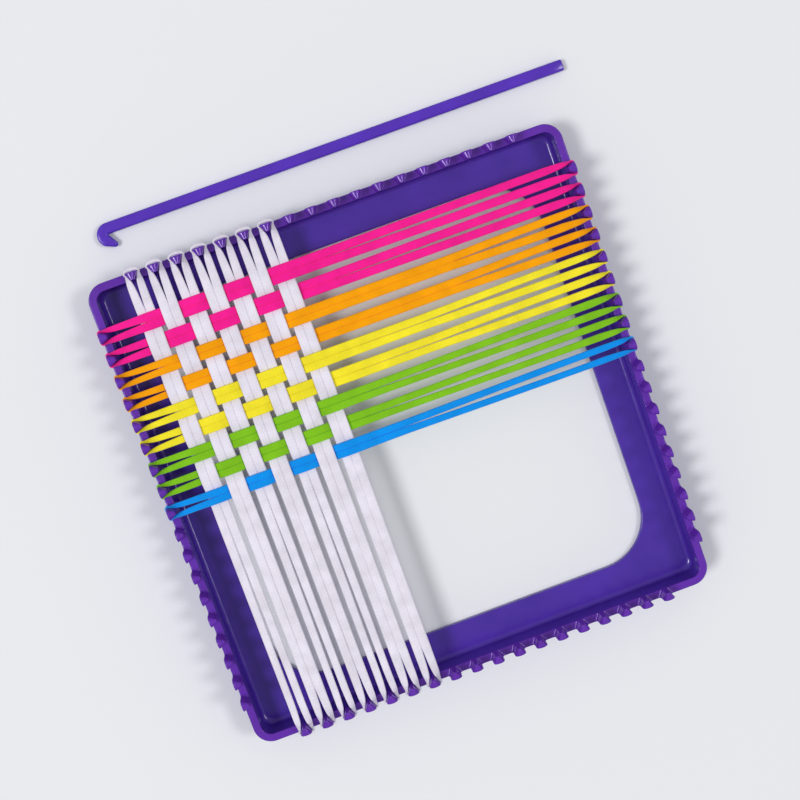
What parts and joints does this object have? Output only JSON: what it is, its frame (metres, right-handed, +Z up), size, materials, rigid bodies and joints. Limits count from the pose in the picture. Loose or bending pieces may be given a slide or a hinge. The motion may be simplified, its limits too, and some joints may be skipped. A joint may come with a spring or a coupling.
{
  "type": "weaving loom",
  "caption": "Square toothed plastic weaving loom, strung with stretched knit loops in a half-finished plain weave, with its plastic weaving hook lying beside it.",
  "frame": {"origin": "middle of the box round the frame and the hook, on the table", "axes": "+Z up, +X along the coloured rows away from the weaving, +Y towards the hook"},
  "size_m": [0.1962, 0.2058, 0.021],
  "materials": {
    "frame_plastic": "moulded purple plastic, semi-gloss",
    "hook_plastic": "moulded purple plastic, semi-gloss",
    "white_knit": "stretched knit band",
    "pink_knit": "stretched knit band",
    "orange_knit": "stretched knit band",
    "yellow_knit": "stretched knit band",
    "green_knit": "stretched knit band",
    "blue_knit": "stretched knit band"
  },
  "bodies": {
    "loom": {"loom_frame": "frame_plastic", "white_loop_1": "white_knit", "white_loop_2": "white_knit", "white_loop_3": "white_knit", "white_loop_4": "white_knit", "white_loop_5": "white_knit", "white_loop_6": "white_knit", "white_loop_7": "white_knit", "pink_loop_1": "pink_knit", "pink_loop_2": "pink_knit", "orange_loop_1": "orange_knit", "orange_loop_2": "orange_knit", "yellow_loop_1": "yellow_knit", "yellow_loop_2": "yellow_knit", "green_loop_1": "green_knit", "green_loop_2": "green_knit", "blue_loop_1": "blue_knit"},
    "hook": {"weaving_hook": "hook_plastic"}
  },
  "joints": [
    {"name": "hook_lift", "type": "slide", "parent": "loom", "child": "hook", "axis": [0, 0, 1], "range_m": [0, 0.12]}
  ]
}
